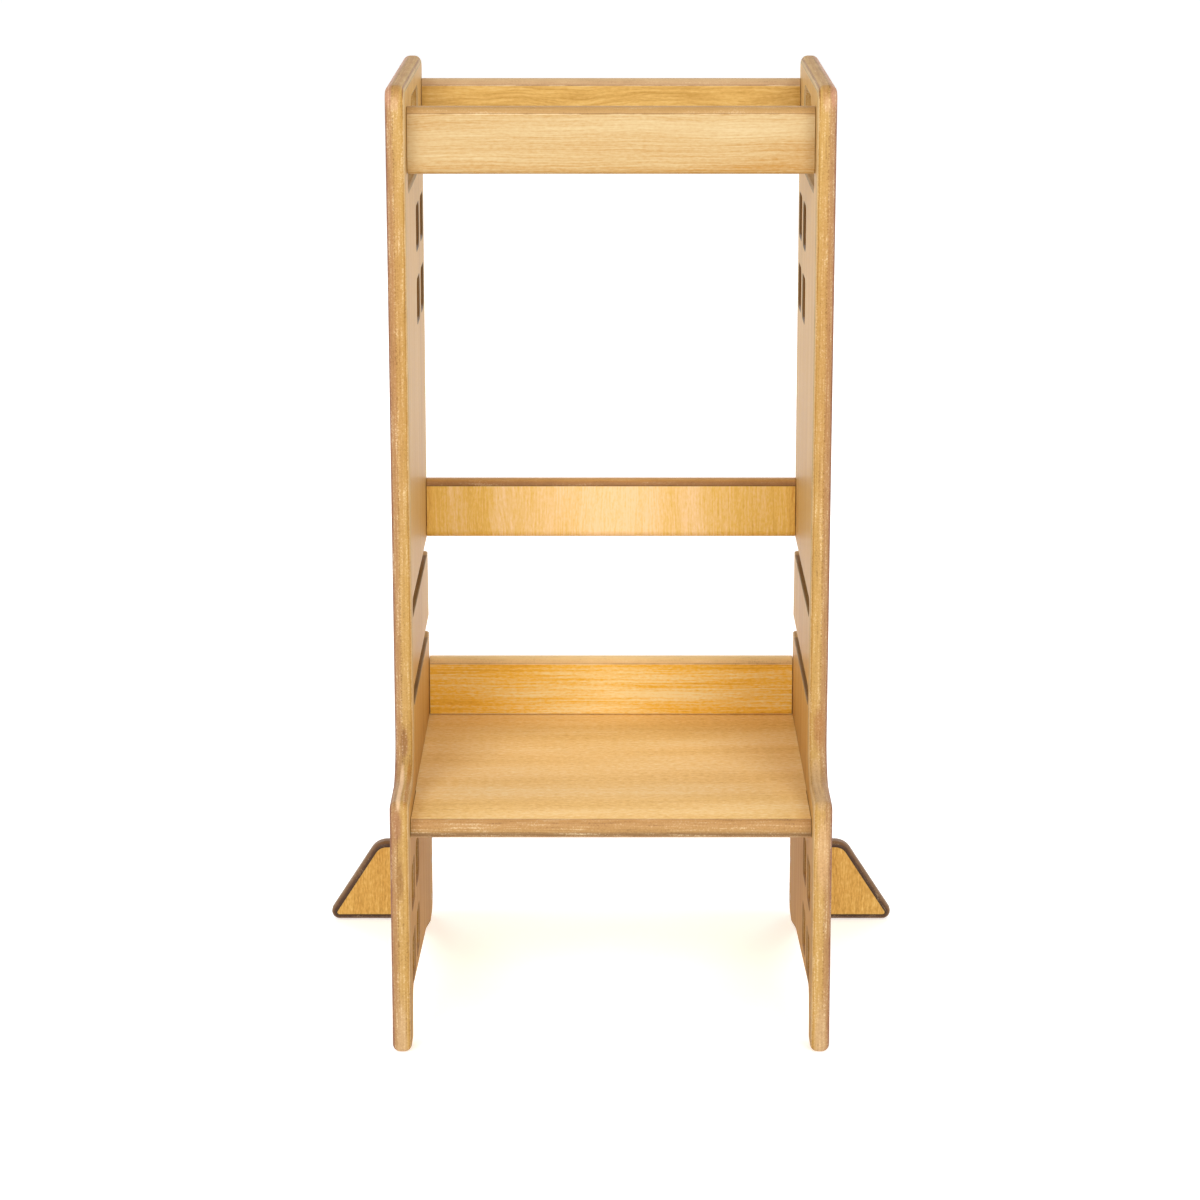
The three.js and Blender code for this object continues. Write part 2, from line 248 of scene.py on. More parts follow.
def rounded_mouths(low, high, radius, segments=MOUTH_SEGMENTS):
    """Places across a board of a cutter that leaves a hole with rounded mouths."""
    run = [(radius * (1 - math.sin(a)), radius * (1 - math.cos(a))) for a in quarter_turns(segments)]
    run.append((-CUT_OVERRUN, radius + CUT_OVERRUN))
    return [(low + depth, offset) for depth, offset in reversed(run)] + [
        (high - depth, offset) for depth, offset in run
    ]


def eased_ends(low, high, ease=EASED_EDGE):
    """Places across a board, as (place, offset), with a small chamfer at both ends."""
    return [(low, -ease), (low + ease, 0), (high - ease, 0), (high, -ease)]


# Solids


def side_view(u, v, place):
    """Point of an outline that is seen from the side, at its place along X."""
    return Vector((place, u, v))


def front_view(u, v, place):
    """Point of an outline that is seen from the front, at its place along Y."""
    return Vector((u, place, v))


def slab(outline, places, view, into=None):
    """Closed solid through copies of an outline, each offset and set at its place across the slab."""
    solid = into or bmesh.new()
    rings = []
    for place, offset in places:
        points = offset_outline(outline, offset)
        rings.append([solid.verts.new(view(p.x, p.y, place)) for p in points])
    count = len(outline)
    for low, high in zip(rings, rings[1:]):
        for k in range(count):
            after = (k + 1) % count
            solid.faces.new((low[k], low[after], high[after], high[k]))
    solid.faces.new(rings[0])
    solid.faces.new(rings[-1])
    return solid


def turned(profile, point, direction, into=None, segments=ROUND_SEGMENTS):
    """Closed round solid whose profile (radius, distance) is counted from a point along a direction."""
    solid = into or bmesh.new()
    across = direction.orthogonal().normalized()
    over = direction.cross(across).normalized()
    rings = []
    for radius, distance in profile:
        centre = point + direction * distance
        ring = []
        for k in range(segments):
            angle = 2 * math.pi * k / segments
            spoke = across * math.cos(angle) + over * math.sin(angle)
            ring.append(solid.verts.new(centre + spoke * radius))
        rings.append(ring)
    for low, high in zip(rings, rings[1:]):
        for k in range(segments):
            after = (k + 1) % segments
            solid.faces.new((low[k], low[after], high[after], high[k]))
    solid.faces.new(rings[0])
    solid.faces.new(rings[-1])
    return solid


def block(low, high, into):
    """Closed block between two corners, for cutting."""
    corners = ((low[1], low[2]), (high[1], low[2]), (high[1], high[2]), (low[1], high[2]))
    outline = [Vector(corner) for corner in corners]
    return slab(outline, [(low[0], 0), (high[0], 0)], side_view, into)


def mesh_of(solid, name):
    """The finished mesh of a solid, with its faces turned outwards."""
    bmesh.ops.recalc_face_normals(solid, faces=solid.faces)
    mesh = bpy.data.meshes.new(name)
    solid.to_mesh(mesh)
    solid.free()
    return mesh


def cut(mesh, cutters):
    """The mesh less its cutters, which don't touch each other."""
    board = bpy.data.objects.new("cut_board", mesh)
    tool = bpy.data.objects.new("cut_tool", mesh_of(cutters, "cut_tool"))
    for thing in (board, tool):
        bpy.context.scene.collection.objects.link(thing)
    modifier = board.modifiers.new("cut", "BOOLEAN")
    modifier.operation = "DIFFERENCE"
    modifier.solver = "EXACT"
    modifier.object = tool
    bpy.context.view_layer.update()
    evaluated = board.evaluated_get(bpy.context.evaluated_depsgraph_get())
    result = bpy.data.meshes.new_from_object(evaluated)
    for thing in (board, tool):
        used = thing.data
        bpy.data.objects.remove(thing)
        bpy.data.meshes.remove(used)
    return result


def add_piece(name, mesh, body, material, node):
    """Turns a mesh in millimetres into a piece that stands for a CAD node."""
    low, high = box_of(node)
    centre = (low + high) / 2
    for vertex in mesh.vertices:
        vertex.co = (vertex.co - centre) * MM
    mesh.name = name
    mesh.polygons.foreach_set("use_smooth", [True] * len(mesh.polygons))
    mesh.set_sharp_from_angle(angle=SHARP_EDGE)
    mesh.materials.clear()
    mesh.materials.append(material)
    piece = bpy.data.objects.new(name, mesh)
    piece.location = (centre - Vector((0, BASE_DEPTH / 2, 0))) * MM
    bpy.context.scene.collection.objects.link(piece)
    normals = piece.modifiers.new("even_normals", "WEIGHTED_NORMAL")
    normals.keep_sharp = True
    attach(piece, body)
    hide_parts(node)
    return piece


# Joints: where screws and dowels hold two boards; side is -1 on the left and 1 on the right


def spread(count, spacing):
    """Evenly spaced places about nought."""
    return [(i - (count - 1) / 2) * spacing for i in range(count)]


def rail_joint(side, rail):
    """Two screws through a side panel into the end of a rail, with a dowel between them."""
    low, high = box_of(rail)
    centre = (low + high) / 2
    head = side * (OUTER_FACE - FIT_GAP)
    dowel = side * (INNER_FACE + DOWEL_IN_BOARD)
    return {
        "direction": -side * AXIS_X,
        "screws": [Vector((head, centre.y, centre.z + z)) for z in spread(2, RAIL_SCREW_SPACING)],
        "dowels": [Vector((dowel, centre.y, centre.z))],
    }


def stabiliser_joint(side):
    """Two screws from the inside of a side panel into a stabiliser, with a dowel between them."""
    low, high = box_of("stabiliser_right")
    centre = (low + high) / 2
    head = side * (INNER_FACE + FIT_GAP)
    dowel = side * (OUTER_FACE - DOWEL_IN_BOARD)
    return {
        "direction": side * AXIS_X,
        "screws": [Vector((head, centre.y, centre.z + z)) for z in spread(2, STABILISER_SCREW_SPACING)],
        "dowels": [Vector((dowel, centre.y, centre.z))],
    }


def riser_joint():
    """Three screws up through the platform into the riser, with two dowels between them."""
    centre_y = PLATFORM_HIGH.y - BOARD / 2
    dowel_z = PLATFORM_HIGH.z - DOWEL_IN_BOARD
    head_z = PLATFORM_LOW.z + FIT_GAP
    return {
        "direction": AXIS_Z,
        "screws": [Vector((x, centre_y, head_z)) for x in spread(3, RISER_SCREW_SPACING)],
        "dowels": [Vector((x, centre_y, dowel_z)) for x in spread(2, RISER_DOWEL_SPACING)],
    }


def cut_joint(joint, into):
    """Adds the holes that a joint's screws and dowels need to a set of cutters."""
    screw_hole = [
        (SCREW_HEAD_RADIUS + FIT_GAP + EASED_EDGE, -CUT_OVERRUN),
        (SCREW_HEAD_RADIUS + FIT_GAP + EASED_EDGE, -FIT_GAP),
        (SCREW_HEAD_RADIUS + FIT_GAP, EASED_EDGE - FIT_GAP),
        (SCREW_HEAD_RADIUS + FIT_GAP, SCREW_HEAD_RIM + FIT_GAP),
        (SCREW_RADIUS + FIT_GAP, SCREW_NECK + FIT_GAP),
        (SCREW_RADIUS + FIT_GAP, SCREW_LENGTH + FIT_GAP),
    ]
    dowel_hole = [
        (DOWEL_RADIUS + FIT_GAP, -FIT_GAP),
        (DOWEL_RADIUS + FIT_GAP, DOWEL_LENGTH + FIT_GAP),
    ]
    for point in joint["screws"]:
        turned(screw_hole, point, joint["direction"], into)
    for point in joint["dowels"]:
        turned(dowel_hole, point, joint["direction"], into)


# Materials

PALE_CORE = 0xE6CFA6
DARK_CORE = 0x5E3C1E
GLUE_DOTS = 0x76502C
# Pale line where veneer meets core: a painted highlight along the veneer's edge
RIM_HIGHLIGHT = 0xF2DDB4
# Tint that takes a far face back down from its board's colours, which are painted brighter to make up for
# the shade on the near face
FAR_FACE_TINT = 0x7E5C58
# Painted shade on the bare walls inside a side panel's holes
WALL_SHADE = 0x5A3404
# Painted light on a panel's inner face: brown painted shade low down, and a grey painted sheen higher up
FOOT_SHADE = 0x5E3A10
INNER_SHEEN_GREY = 0x7C8268

# Depths below a face at which the veneer ends, then the pale line of painted highlight beside it and then
# the dark line of painted shadow
VENEER_DEPTH = 0.004
RIM_HIGHLIGHT_DEPTH = 0.05
RIM_SHADOW_DEPTH = 0.13


def linear(hexadecimal):
    """A colour written as a web colour, as the four linear values that Blender wants."""
    channels = [(hexadecimal >> shift & 255) / 255 for shift in (16, 8, 0)]
    return [c / 12.92 if c <= 0.04045 else ((c + 0.055) / 1.055) ** 2.4 for c in channels] + [1]


class Shade:
    """A material under construction, with one method for each kind of node that it needs."""

    def __init__(self, name):
        self.material = bpy.data.materials.new(name)
        self.material.use_nodes = True
        self.tree = self.material.node_tree
        self.surface = self.tree.nodes["Principled BSDF"]

    def fill(self, socket, value):
        """Links a socket to another one, or sets it to a plain value."""
        if isinstance(value, bpy.types.NodeSocket):
            self.tree.links.new(value, socket)
        else:
            socket.default_value = value

    def set(self, **values):
        """Fills sockets of the surface shader by their names."""
        for name, value in values.items():
            self.fill(self.surface.inputs[name.replace("_", " ")], value)

    def math(self, operation, *values):
        node = self.tree.nodes.new("ShaderNodeMath")
        node.operation = operation
        for socket, value in zip(node.inputs, values):
            self.fill(socket, value)
        return node.outputs[0]

    def times(self, a, b):
        return self.math("MULTIPLY", a, b)

    def plus(self, *values):
        total = values[0]
        for value in values[1:]:
            total = self.math("ADD", total, value)
        return total

    def position(self):
        """Place on the piece in millimetres from its middle, as three numbers."""
        coordinates = self.tree.nodes.new("ShaderNodeTexCoord")
        parts = self.tree.nodes.new("ShaderNodeSeparateXYZ")
        self.fill(parts.inputs[0], coordinates.outputs["Object"])
        return [self.times(output, 1 / MM) for output in parts.outputs]

    def noise(self, place, size, detail=2.0, roughness=0.5, seed=0.0):
        """Even noise about nought, whose grains have a size in millimetres along each axis."""
        vector = self.tree.nodes.new("ShaderNodeCombineXYZ")
        for socket, value, length in zip(vector.inputs, place, size):
            self.fill(socket, self.times(value, 1 / length))
        shifted = self.tree.nodes.new("ShaderNodeVectorMath")
        self.fill(shifted.inputs[0], vector.outputs[0])
        self.fill(shifted.inputs[1], (seed, seed, seed))
        node = self.tree.nodes.new("ShaderNodeTexNoise")
        self.fill(node.inputs["Vector"], shifted.outputs[0])
        self.fill(node.inputs["Scale"], 1.0)
        self.fill(node.inputs["Detail"], detail)
        self.fill(node.inputs["Roughness"], roughness)
        return self.plus(node.outputs[0], -0.5)

    def between(self, value, low, high, to_low=0.0, to_high=1.0):
        """Value run smoothly from one range into another, and held at its ends."""
        node = self.tree.nodes.new("ShaderNodeMapRange")
        node.interpolation_type = "SMOOTHSTEP"
        for socket, number in zip(node.inputs, (value, low, high, to_low, to_high)):
            self.fill(socket, number)
        return node.outputs[0]

    def band(self, value, middle, half_width):
        """1 where the value is at a middle, falling to 0 at a distance from it."""
        away = self.math("ABSOLUTE", self.plus(value, -middle))
        return self.between(away, 0.0, half_width, 1.0, 0.0)

    def mix(self, share, a, b):
        """Colour a at a share of nought, and colour b at 1."""
        node = self.tree.nodes.new("ShaderNodeMix")
        node.data_type = "RGBA"
        self.fill(node.inputs[0], share)
        self.fill(node.inputs[6], a)
        self.fill(node.inputs[7], b)
        return node.outputs[2]

    def brighter(self, colour, share):
        """The colour made brighter by a share of itself, or darker where the share is below nought."""
        node = self.tree.nodes.new("ShaderNodeHueSaturation")
        self.fill(node.inputs["Value"], self.plus(share, 1.0))
        self.fill(node.inputs["Color"], colour)
        return node.outputs[0]

    def ramp(self, value, *stops):
        """Colour read from stops, each a place from 0 to 1 and a web colour."""
        node = self.tree.nodes.new("ShaderNodeValToRGB")
        elements = node.color_ramp.elements
        while len(elements) < len(stops):
            elements.new(0.5)
        for element, (place, colour) in zip(elements, stops):
            element.position = place
            element.color = linear(colour)
        self.fill(node.inputs[0], value)
        return node.outputs[0]

    def bump(self, height, distance, strength=1.0):
        """Normal of a relief whose height of 1 is a distance in millimetres."""
        node = self.tree.nodes.new("ShaderNodeBump")
        node.inputs["Strength"].default_value = strength
        node.inputs["Distance"].default_value = distance * MM
        self.fill(node.inputs["Height"], height)
        return node.outputs[0]


class StainOrPaintedLight(NamedTuple):
    """A marked place on a rounded edge, real discolouring or painted light: its middle and half its size,
    up the board and below its face.

    It ends at a reach behind the middle of the board.
    """

    height: float
    half_height: float
    depth: float
    half_depth: float
    colour: int
    strength: float
    reach: float = 1000


class Look(NamedTuple):
    """How one kind of board looks. Colours are web colours, and sizes are in millimetres.

    Grain is the axis that the fibres follow, and face the side that the board turns to the front, up or
    outwards. Dark, middle and light are the colours of the veneer. The layers are the colours that show
    through the board's rounded edges, each with its depth below the face. Streaks, bands, figure, flecks,
    speckle and strands say how strong each part of the pattern is, where 1 is strong. Below
    veneered_below, counted from the middle of the board, the edges show veneer as the faces do.
    """

    grain: str
    face: str
    dark: int
    middle: int
    light: int
    layers: tuple
    seed: float
    streaks: float = 0.5
    streak_width: float = 2.2
    streak_length: float = 48
    sway: float = 20
    bands: float = 0.5
    band_width: float = 22
    figure: float = 0.0
    figure_width: float = 10
    flecks: float = 0.5
    fleck_width: float = 1.5
    # Painted light: the veneer is paler in the middle of the board, as in a pool of light, and darker
    # towards the side panels
    painted_middle_light: float = 0.0
    rise: float = 0.0
    speckle: float = 1.0
    strands: float = 1.0
    # Strength of the painted highlight along the veneer's edge
    rim_highlight: float = 0.5
    dots: float = 0.0
    stains: tuple = ()
    veneered_below: float = -1000
    # Painted shade beside the side panels: the veneer darkens over the last 10 mm up to this distance
    # from the middle along X
    joints: float = 0.0
    # How far the far face is taken back down from the painted light on the board's colours
    far_face_without_painted_light: float = 0.0
    gloss: float = 0.3
    # Painted shade, brown, low on a panel's inner face, which is also made duller there
    painted_foot_shade_and_dullness: float = 0.0
    # Strength of the painted shade on the walls inside a side panel's holes
    painted_wall_shade: float = 0.0


def face_figure(shade, look, along, across):
    """Lightness of the veneer about nought, and its fibres and pores alone for the relief."""
    flat = (along, across, 0.0)
    sway = shade.noise(flat, (140, 55, 1), seed=look.seed)
    bent = (along, shade.plus(across, shade.times(sway, look.sway)), 0.0)
    fine = shade.noise(bent, (look.streak_length, look.streak_width, 1), 3, 0.55, look.seed + 3)
    bands = shade.noise(bent, (320, look.band_width, 1), 2, 0.5, look.seed + 7)
    flecks = shade.noise(bent, (7, look.fleck_width, 1), 3, 0.6, look.seed + 13)
    pores = shade.noise(flat, (3.6, 1.4 * look.fleck_width, 1), 2, 0.5, look.seed + 17)
    tone = shade.plus(
        shade.times(fine, 2.4 * look.streaks),
        shade.times(bands, 2.8 * look.bands),
        shade.times(flecks, 1.6 * look.flecks),
        shade.times(pores, 0.8 * look.flecks),
    )
    if look.figure:
        calm = shade.noise(flat, (95, 40, 1), 1, 0.5, look.seed + 11)
        rings = shade.math("SINE", shade.times(bent[1], 2 * math.pi / look.figure_width))
        rings = shade.times(rings, shade.between(calm, -0.08, 0.16))
        tone = shade.plus(tone, shade.times(rings, 0.5 * look.figure))
    if look.rise:
        tone = shade.plus(tone, shade.times(across, look.rise / 100))
    return tone, shade.plus(fine, shade.times(flecks, 0.6), pores)


def with_stain_or_painted_light(shade, stain, colour, place, depth, seed):
    """The colour with a mark on it, whose outline is frayed: real discolouring, or painted highlight or
    shade.
    """
    streaks = shade.noise(place, (2, 8, 8), 4, 0.7, seed)
    spot = shade.times(
        shade.band(place[2], stain.height, stain.half_height),
        shade.band(depth, stain.depth, stain.half_depth),
    )
    spot = shade.times(spot, shade.between(place[1], stain.reach - 20, stain.reach + 20, 1.0, 0.0))
    spot = shade.between(shade.plus(spot, shade.times(streaks, 0.8)), 0.1, 0.8, 0.0, stain.strength)
    return shade.mix(spot, colour, linear(stain.colour))


def core_board(shade, look, place, depth):
    """Colour of the bare core at a depth below the named face, and its speckle for the relief."""
    speckle = shade.noise(place, (1.7, 1.7, 1.7), 3, 0.7, look.seed)
    clouds = shade.noise(place, (26, 26, 26), 3, 0.6, look.seed + 5)
    thin = [1.5 if axis == look.face[-1] else 45 for axis in "XYZ"]
    strands = shade.noise(place, thin, 3, 0.6, look.seed + 10)
    ragged = shade.plus(depth, shade.times(speckle, 0.8), shade.times(clouds, 1.5))
    layers = [(below / BOARD, colour) for below, colour in look.layers]
    colour = shade.ramp(shade.times(ragged, 1 / BOARD), *layers)
    if look.dots:
        dots = shade.noise(place, (3.5, 3.5, 1.1), 1, 0.5, look.seed + 15)
        line = shade.times(shade.band(ragged, look.dots, 1.1), shade.between(dots, -0.1, 0.15, 0.0, 0.7))
        colour = shade.mix(line, colour, linear(GLUE_DOTS))
    for index, stain in enumerate(look.stains):
        colour = with_stain_or_painted_light(shade, stain, colour, place, depth, look.seed + 20 + index)
    light = shade.plus(
        shade.times(speckle, look.speckle),
        shade.times(clouds, 0.5),
        shade.times(strands, look.strands),
    )
    colour = shade.mix(shade.between(light, 0.0, 1.0), colour, linear(PALE_CORE))
    return shade.mix(shade.between(light, 0.0, -1.0), colour, linear(DARK_CORE)), speckle


def painted_hole_shade(shade, place):
    """How much painted shade darkens the walls of a side panel's holes: 0 everywhere on its outer edges,
    and up to 1.

    The front edge steps back at the ledge, so the frontmost wall that counts does too. The upper windows
    are the darkest, and the hand hole is the palest.
    """
    y = shade.plus(place["Y"], BASE_DEPTH / 2)
    z = shade.plus(place["Z"], OVERALL_HEIGHT / 2)
    front = shade.between(z, LEDGE_HEIGHT - 60, LEDGE_HEIGHT - 40, 20, WAIST_SETBACK + 3)
    behind_front = shade.between(shade.math("SUBTRACT", y, front), 0, 3)
    before_back = shade.between(y, BACK_EDGE - 20, BACK_EDGE - 14, 1, 0)
    above_arch = shade.between(z, ARCH_FRONT_HEIGHT + 3.5, ARCH_FRONT_HEIGHT + 7.5)
    below_top = shade.between(z, OVERALL_HEIGHT - 20, OVERALL_HEIGHT - 14, 1, 0)
    walls = shade.times(shade.times(behind_front, before_back), shade.times(above_arch, below_top))
    windows = shade.between(z, LEDGE_HEIGHT + 180, LEDGE_HEIGHT + 250, 0.6, 1.0)
    hand_hole = shade.between(z, OVERALL_HEIGHT - 130, OVERALL_HEIGHT - 105, 1.0, 0.4)
    return shade.times(walls, shade.times(windows, hand_hole))


def painted_inner_shade_and_sheen(shade, look, colour, height, below_face):
    """The colour of a panel's inner face with painted light on it: brown painted shade low down, where it
    is also dull, and a grey painted sheen above.
    """
    inner = shade.between(below_face, BOARD - 2, BOARD)
    foot = shade.times(shade.between(height, -120, -300, 0.0, look.painted_foot_shade_and_dullness), inner)
    upper = shade.times(shade.between(height, -220, -60, 0.0, 0.22), inner)
    colour = shade.mix(foot, colour, linear(FOOT_SHADE))
    return shade.mix(upper, colour, linear(INNER_SHEEN_GREY)), foot


def wood(name, look):
    """Lacquered board: veneer on both faces, and a bare core where the edges are rounded.

    Where veneer and core meet there is a pale line of painted highlight, broken up by wear, and beside it
    a dark line of painted shadow.
    """
    shade = Shade(name)
    place = dict(zip("XYZ", shade.position()))
    along = place[look.grain]
    through = shade.times(place[look.face[-1]], -1 if look.face[0] == "-" else 1)
    below_face = shade.math("SUBTRACT", BOARD / 2, through)
    across = next(place[axis] for axis in "XYZ" if axis not in (look.grain, look.face[-1]))
    solid = (place["X"], place["Y"], place["Z"])

    tone, fibres = face_figure(shade, look, along, across)
    # Painted light: the tone is raised in the middle of the board and falls off towards the side panels
    if look.painted_middle_light:
        tone = shade.plus(tone, shade.times(shade.band(place["X"], 0.0, 190), look.painted_middle_light))
    # Painted shade where the board meets the side panels
    if look.joints:
        beside = shade.between(shade.math("ABSOLUTE", place["X"]), look.joints - 10, look.joints)
        tone = shade.plus(tone, shade.times(beside, -0.3))
    veneer = shade.ramp(shade.plus(tone, 0.5), (0.0, look.dark), (0.5, look.middle), (1.0, look.light))
    # The colours are painted brighter to make up for the shade on the near face; the far face is tinted
    # back down
    if look.far_face_without_painted_light:
        far = shade.between(below_face, BOARD / 2, BOARD, 0.0, look.far_face_without_painted_light)
        veneer = shade.mix(far, veneer, linear(FAR_FACE_TINT))
    core, speckle = core_board(shade, look, solid, below_face)
    # Painted shade in the panel's holes
    if look.painted_wall_shade:
        walls = shade.times(painted_hole_shade(shade, place), look.painted_wall_shade)
        core = shade.mix(walls, core, linear(WALL_SHADE))

    depth = shade.math("SUBTRACT", BOARD / 2, shade.math("ABSOLUTE", through))
    # Painted highlight on the pale line and painted shadow on the dark one, both broken up by wear
    rim_wear_and_light = shade.noise(solid, (18, 18, 18), 3, 0.6, look.seed + 9)
    pale = shade.mix(shade.between(rim_wear_and_light, -0.15, 0.2, 0.0, look.rim_highlight), core, linear(RIM_HIGHLIGHT))
    dark = shade.brighter(core, shade.between(rim_wear_and_light, -0.2, 0.2, -0.5, -0.2))
    edge = shade.mix(shade.between(depth, 0.8 * RIM_HIGHLIGHT_DEPTH, RIM_HIGHLIGHT_DEPTH), pale, dark)
    edge = shade.mix(shade.between(depth, 0.8 * RIM_SHADOW_DEPTH, 1.3 * RIM_SHADOW_DEPTH), edge, core)
    above = shade.between(place["Z"], look.veneered_below - 1, look.veneered_below + 1)
    bare = shade.times(shade.between(depth, VENEER_DEPTH, 2 * VENEER_DEPTH), above)
    colour = shade.mix(bare, veneer, edge)

    sheen = shade.plus(shade.times(fibres, 0.3), shade.times(bare, 0.1), 0.48)
    # Painted shade low on the inner face, and a grey painted sheen above it
    if look.painted_foot_shade_and_dullness:
        colour, foot = painted_inner_shade_and_sheen(shade, look, colour, place["Z"], below_face)
        sheen = shade.plus(sheen, shade.times(foot, 0.6))
    relief = shade.mix(bare, fibres, shade.times(speckle, 1.4))
    shade.set(
        Base_Color=colour,
        Roughness=sheen,
        Normal=shade.bump(relief, 0.1, 0.6),
        Specular_IOR_Level=look.gloss,
        Coat_Weight=look.gloss * 0.4,
        Coat_Roughness=0.3,
    )
    return shade.material


def zinc_steel():
    """Zinc-plated steel with a cloudy sheen and fine scratches."""
    shade = Shade("zinc_steel")
    place = shade.position()
    smear = shade.noise(place, (1, 1, 1), 3, 0.6)
    scratches = shade.noise(place, (0.16, 1.4, 0.33), 2)
    shade.set(
        Base_Color=shade.ramp(shade.plus(smear, 0.5), (0.2, 0x9EA3A8), (0.5, 0xB9BCC0), (0.8, 0xCFCFC9)),
        Metallic=1.0,
        Roughness=shade.between(smear, -0.2, 0.2, 0.26, 0.42),
        Normal=shade.bump(scratches, 0.02, 0.4),
    )
    return shade.material


def beech():
    """Bare beech with short flecks."""
    shade = Shade("beech")
    flecks = shade.noise(shade.position(), (1.0, 0.6, 0.6), 3, 0.6)
    shade.set(
        Base_Color=shade.ramp(shade.plus(flecks, 0.5), (0.3, 0xB48658), (0.5, 0xC79B68), (0.7, 0xD9B483)),
        Roughness=0.6,
        Normal=shade.bump(flecks, 0.1, 0.5),
    )
    return shade.material


# Boards


def panel_outline():
    """Side panel seen from the side: under the arch to the back, up, and down the front by the ledge."""
    knee_y = BASE_DEPTH - REAR_FOOT_LENGTH - ARCH_KNEE_RUN
    return rounded_outline([
        (0, 0, FOOT_CORNER),
        (FRONT_FOOT_LENGTH, 0, FOOT_CORNER),
        (ARCH_FRONT_SETBACK, ARCH_FRONT_HEIGHT, ARCH_FILLET),
        (knee_y, ARCH_KNEE_HEIGHT, GENTLE_BEND_RADIUS),
        (BASE_DEPTH - REAR_FOOT_LENGTH, 0, FOOT_CORNER),
        (BASE_DEPTH, 0, REAR_FOOT_CORNER),
        (BASE_DEPTH, FLARE_START_HEIGHT, GENTLE_BEND_RADIUS),
        (BACK_EDGE, FLARE_END_HEIGHT, GENTLE_BEND_RADIUS),
        (BACK_EDGE, OVERALL_HEIGHT, TOP_CORNER),
        (TOP_SETBACK, OVERALL_HEIGHT, TOP_CORNER),
        (WAIST_SETBACK, LEDGE_HEIGHT, WAIST_FILLET),
        (0, LEDGE_HEIGHT, LEDGE_CORNER),
    ])


def across_panel(side):
    """The two faces of a side panel along X, lower one first."""
    return sorted((side * INNER_FACE, side * OUTER_FACE))


def cut_groove(side, bottom, into):
    """A groove with a round front end, open at the back and eased at its mouth."""
    radius = GROOVE_HEIGHT / 2
    back = BASE_DEPTH + 2 * CUT_OVERRUN
    outline = [Vector((back, bottom)), Vector((back, bottom + GROOVE_HEIGHT))]
    steps = math.ceil(math.pi / ARC_STEP)
    for step in range(steps + 1):
        angle = math.pi / 2 + math.pi * step / steps
        outline.append(Vector((
            GROOVE_SETBACK + radius + radius * math.cos(angle),
            bottom + radius + radius * math.sin(angle),
        )))
    places = [
        (side * (INNER_FACE + GROOVE_DEPTH), 0),
        (side * (INNER_FACE + EASED_EDGE), 0),
        (side * (INNER_FACE - CUT_OVERRUN), EASED_EDGE + CUT_OVERRUN),
    ]
    slab(outline, places, side_view, into)


def cut_hand_hole(side, into):
    """The hand hole, whose front end slopes back behind the front rail."""
    rail_low, rail_high = box_of("front_top_rail")
    top = OVERALL_HEIGHT - HAND_HOLE_DROP
    bottom = top - HAND_HOLE_HEIGHT
    back = BACK_EDGE - HAND_HOLE_BACK_INSET

    def slope_at(z):
        return rail_high.y + HAND_HOLE_RAIL_MARGIN + (z - rail_low.z) / math.tan(HAND_HOLE_SLOPE)

    outline = rounded_outline([
        (slope_at(bottom), bottom, HAND_HOLE_TOE),
        (back, bottom, HAND_HOLE_CORNER),
        (back, top, HAND_HOLE_CORNER),
        (slope_at(top), top, HAND_HOLE_HEEL),
    ])
    slab(outline, rounded_mouths(*across_panel(side), HAND_HOLE_ROUND), side_view, into)


def cut_windows(side, centre_y, centre_z, into):
    """Four windows about a centre, with rounded corners and mouths."""
    for y in spread(2, WINDOW_PITCH_Y):
        for z in spread(2, WINDOW_PITCH_Z):
            left = centre_y + y - WINDOW_WIDTH / 2
            low = centre_z + z - WINDOW_HEIGHT / 2
            outline = rounded_outline([
                (left, low, WINDOW_CORNER),
                (left + WINDOW_WIDTH, low, WINDOW_CORNER),
                (left + WINDOW_WIDTH, low + WINDOW_HEIGHT, WINDOW_CORNER),
                (left, low + WINDOW_HEIGHT, WINDOW_CORNER),
            ])
            slab(outline, rounded_mouths(*across_panel(side), WINDOW_ROUND), side_view, into)


def add_side_panel(word, material):
    """Side panel with rounded edges, its grooves and windows, a hand hole and holes for its fasteners."""
    side = SIDES[word]
    places = rounded_edges(*across_panel(side), round_of(EDGE_ROUND))
    blank = mesh_of(slab(panel_outline(), places, side_view), "side_panel")
    cutters = bmesh.new()
    for bottom in GROOVE_HEIGHTS:
        cut_groove(side, bottom, cutters)
    cut_hand_hole(side, cutters)
    cut_windows(side, BACK_EDGE - UPPER_WINDOWS_BACK_INSET, OVERALL_HEIGHT - UPPER_WINDOWS_DROP, cutters)
    cut_windows(side, LOWER_WINDOWS_SETBACK, LOWER_WINDOWS_HEIGHT, cutters)
    for rail in RAILS:
        cut_joint(rail_joint(side, rail), cutters)
    cut_joint(stabiliser_joint(side), cutters)
    node = f"side_panel_{word}"
    add_piece(f"{node}_board", cut(blank, cutters), "frame", material, node)


def add_rail(node, material):
    """Rail with its four long edges rounded."""
    low, high = box_of(node)
    edge = round_of(EDGE_ROUND)
    outline = rounded_outline([
        (low.y, low.z, edge),
        (high.y, low.z, edge),
        (high.y, high.z, edge),
        (low.y, high.z, edge),
    ])
    blank = mesh_of(slab(outline, eased_ends(low.x, high.x), side_view), node)
    cutters = bmesh.new()
    for side in SIDES.values():
        cut_joint(rail_joint(side, node), cutters)
    add_piece(f"{node}_board", cut(blank, cutters), "frame", material, node)


